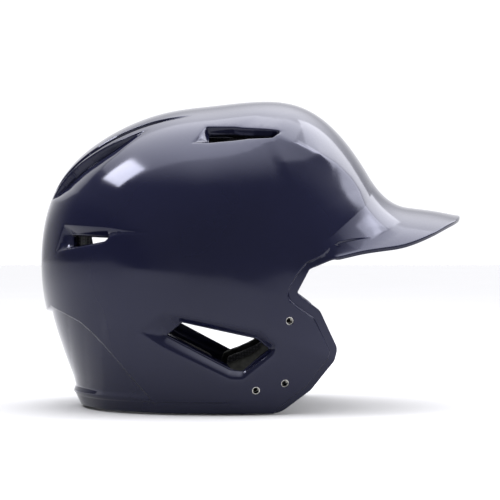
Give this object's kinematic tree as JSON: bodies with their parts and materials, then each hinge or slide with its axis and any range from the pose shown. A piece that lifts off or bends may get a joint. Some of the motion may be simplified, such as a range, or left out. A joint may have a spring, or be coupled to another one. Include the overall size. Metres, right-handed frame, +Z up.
{
  "type": "batting helmet",
  "caption": "Hard-shell batting helmet with a bill, ear openings in both flaps, vents, threaded inserts for a face guard, and a foam and fabric lining.",
  "frame": {"origin": "centre of the overall box on the plane that the helmet stands on", "axes": "+X forwards along the bill, +Y to the wearer's left, +Z up; the plane of symmetry is XZ"},
  "size_m": [0.29, 0.2074, 0.2107],
  "materials": {
    "shell_plastic": "high gloss, dark navy",
    "impact_foam": "matte moulded foam, black",
    "comfort_fabric": "knit fabric over soft foam, black",
    "hook_and_loop": "black hook tape",
    "insert_metal": "plated steel"
  },
  "bodies": {
    "root": {"crown_comfort_pad": "comfort_fabric", "crown_impact_pad": "impact_foam", "front_comfort_pad": "comfort_fabric", "front_impact_pad": "impact_foam", "hook_and_loop_dots": "hook_and_loop", "left_ear_pad": "impact_foam", "left_jaw_comfort_pad": "comfort_fabric", "left_jaw_impact_pad": "impact_foam", "left_side_comfort_pad": "comfort_fabric", "left_side_impact_pad": "impact_foam", "nape_pad": "impact_foam", "rear_comfort_pad": "comfort_fabric", "rear_impact_pad": "impact_foam", "right_ear_pad": "impact_foam", "right_jaw_comfort_pad": "comfort_fabric", "right_jaw_impact_pad": "impact_foam", "right_side_comfort_pad": "comfort_fabric", "right_side_impact_pad": "impact_foam", "shell": "shell_plastic", "threaded_insert_left_front": "insert_metal", "threaded_insert_left_rear": "insert_metal", "threaded_insert_left_upper": "insert_metal", "threaded_insert_right_front": "insert_metal", "threaded_insert_right_rear": "insert_metal", "threaded_insert_right_upper": "insert_metal"}
  },
  "joints": []
}
